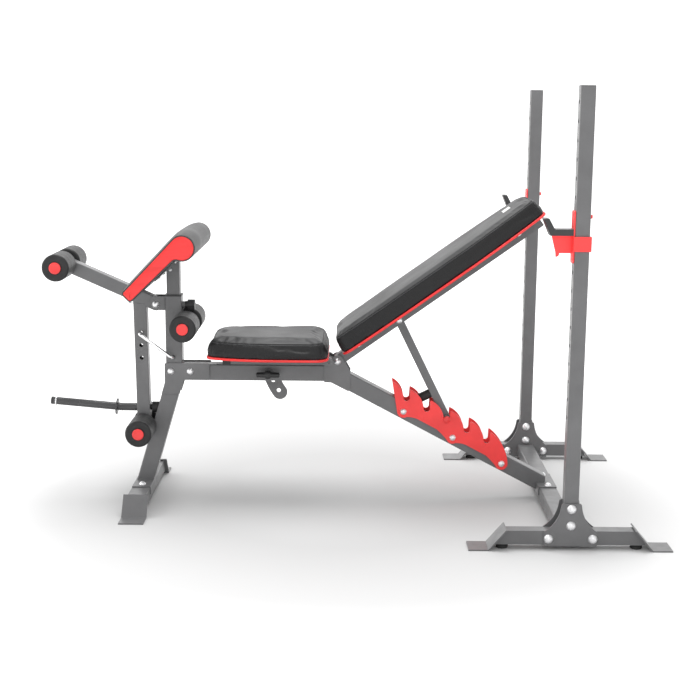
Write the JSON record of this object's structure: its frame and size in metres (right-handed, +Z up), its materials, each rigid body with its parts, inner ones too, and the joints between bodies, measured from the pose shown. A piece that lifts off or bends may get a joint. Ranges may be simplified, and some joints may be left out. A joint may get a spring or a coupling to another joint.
{
  "type": "weight bench",
  "caption": "Adjustable incline weight bench with barbell uprights and hooks, notched backrest support, sloping curl desk and a pivoting leg lever with foam rollers and a plate peg.",
  "frame": {"origin": "on the floor under the centre of the outline", "axes": "+X towards the uprights, +Y across the bench, +Z up"},
  "size_m": [1.826, 1.017, 1.266],
  "materials": {
    "frame_paint": "satin dark grey powder coat",
    "red_paint": "satin red powder coat",
    "red_board": "red covered board",
    "bolt_steel": "zinc plated",
    "chrome_rod": "polished",
    "peg_steel": "satin dark grey with a worn sleeve",
    "black_vinyl": "black grained vinyl upholstery",
    "foam": "closed cell foam",
    "red_plastic": "moulded red plastic",
    "black_plastic": "moulded black plastic",
    "rubber": "black rubber"
  },
  "bodies": {
    "frame": {"uprights": "frame_paint", "upright_plugs": "black_plastic", "rear_feet": "frame_paint", "levelers": "rubber", "rear_gussets": "frame_paint", "crossbeam": "frame_paint", "foot_bolts": "bolt_steel", "main_tube": "frame_paint", "incline_tube": "frame_paint", "pivot_plates": "frame_paint", "ladder_plates": "red_paint", "front_leg": "frame_paint", "front_foot": "frame_paint", "front_gussets": "frame_paint", "front_post": "frame_paint", "post_bush": "black_plastic", "lever_clevis": "frame_paint", "cross_bolts": "bolt_steel", "mid_axle": "frame_paint", "mid_axle_caps": "red_plastic", "pin_collar": "frame_paint"},
    "backrest": {"back_rail": "frame_paint", "back_fasteners": "bolt_steel", "back_board": "red_board", "back_pad": "black_vinyl", "back_rail_plug": "black_plastic"},
    "strut": {"strut_tube": "frame_paint", "strut_pin": "bolt_steel", "strut_pin_caps": "red_plastic", "strut_grip": "rubber"},
    "seat": {"seat_frame": "frame_paint", "seat_rail_caps": "black_plastic", "seat_screws": "bolt_steel", "seat_board": "red_board", "seat_pad": "black_vinyl"},
    "seat_lock": {"seat_pin": "bolt_steel", "seat_pin_handle": "black_plastic"},
    "desk": {"desk_pad": "black_vinyl", "desk_cheeks": "red_paint", "desk_bracket": "frame_paint", "desk_post": "frame_paint", "desk_bolts": "bolt_steel"},
    "knob": {"post_knob": "black_plastic"},
    "lever": {"lever_frame": "frame_paint", "lever_axles": "frame_paint", "lever_axle_caps": "red_plastic", "weight_peg": "peg_steel", "peg_plug": "black_plastic", "lever_bumper": "rubber"},
    "lever_lock": {"lock_rod": "chrome_rod"},
    "hook_near": {"hook_near": "red_paint", "hook_liner_near": "black_plastic"},
    "hook_far": {"hook_far": "red_paint", "hook_liner_far": "black_plastic"},
    "roller_mid_near": {"roller_mid_near": "foam"},
    "roller_mid_far": {"roller_mid_far": "foam"},
    "roller_upper_near": {"roller_upper_near": "foam"},
    "roller_upper_far": {"roller_upper_far": "foam"},
    "roller_lower_near": {"roller_lower_near": "foam"},
    "roller_lower_far": {"roller_lower_far": "foam"}
  },
  "joints": [
    {"name": "backrest_raise", "type": "hinge", "parent": "frame", "child": "backrest", "pos_m": [-0.024, 0, 0.4365], "axis": [0, -1, 0], "range_deg": [0, 7]},
    {"name": "strut_swing", "type": "hinge", "parent": "backrest", "child": "strut", "pos_m": [0.163, 0, 0.566], "axis": [0, -1, 0], "range_deg": [-4.7, 0.5]},
    {"name": "seat_tilt", "type": "hinge", "parent": "frame", "child": "seat", "pos_m": [-0.05, 0, 0.44], "axis": [0, 1, 0], "range_deg": [0, 11]},
    {"name": "seat_pin_pull", "type": "slide", "parent": "frame", "child": "seat_lock", "axis": [0, 1, 0], "range_m": [0, 0.008]},
    {"name": "desk_height", "type": "slide", "parent": "frame", "child": "desk", "axis": [0, 0, 1], "range_m": [0, 0.1]},
    {"name": "post_knob_turn", "type": "hinge", "parent": "frame", "child": "knob", "pos_m": [-0.487, 0, 0.605], "axis": [1, 0, 0], "continuous": true},
    {"name": "lever_swing", "type": "hinge", "parent": "frame", "child": "lever", "pos_m": [-0.579, 0, 0.609], "axis": [0, 1, 0], "range_deg": [0, 30]},
    {"name": "lock_rod_slide", "type": "slide", "parent": "frame", "child": "lever_lock", "axis": [0, -1, 0], "range_m": [0, 0.01]},
    {"name": "roller_mid_near_spin", "type": "hinge", "parent": "frame", "child": "roller_mid_near", "pos_m": [-0.485, -0.082, 0.551], "axis": [0, 1, 0], "continuous": true},
    {"name": "roller_mid_far_spin", "type": "hinge", "parent": "frame", "child": "roller_mid_far", "pos_m": [-0.485, 0.082, 0.551], "axis": [0, 1, 0], "continuous": true},
    {"name": "roller_upper_near_spin", "type": "hinge", "parent": "lever", "child": "roller_upper_near", "pos_m": [-0.857, -0.082, 0.731], "axis": [0, 1, 0], "continuous": true},
    {"name": "roller_upper_far_spin", "type": "hinge", "parent": "lever", "child": "roller_upper_far", "pos_m": [-0.857, 0.082, 0.731], "axis": [0, 1, 0], "continuous": true},
    {"name": "roller_lower_near_spin", "type": "hinge", "parent": "lever", "child": "roller_lower_near", "pos_m": [-0.623, -0.082, 0.229], "axis": [0, 1, 0], "continuous": true},
    {"name": "roller_lower_far_spin", "type": "hinge", "parent": "lever", "child": "roller_lower_far", "pos_m": [-0.623, 0.082, 0.229], "axis": [0, 1, 0], "continuous": true},
    {"name": "hook_near_swing", "type": "hinge", "parent": "frame", "child": "hook_near", "pos_m": [0.6295, -0.4715, 0.923], "axis": [-1, 0, 0], "range_deg": [0, 90]},
    {"name": "hook_far_swing", "type": "hinge", "parent": "frame", "child": "hook_far", "pos_m": [0.6295, 0.4715, 0.923], "axis": [1, 0, 0], "range_deg": [0, 90]}
  ],
  "couplings": [
    {"joint": "strut_swing", "follows": "backrest_raise", "ratio": -0.6}
  ]
}
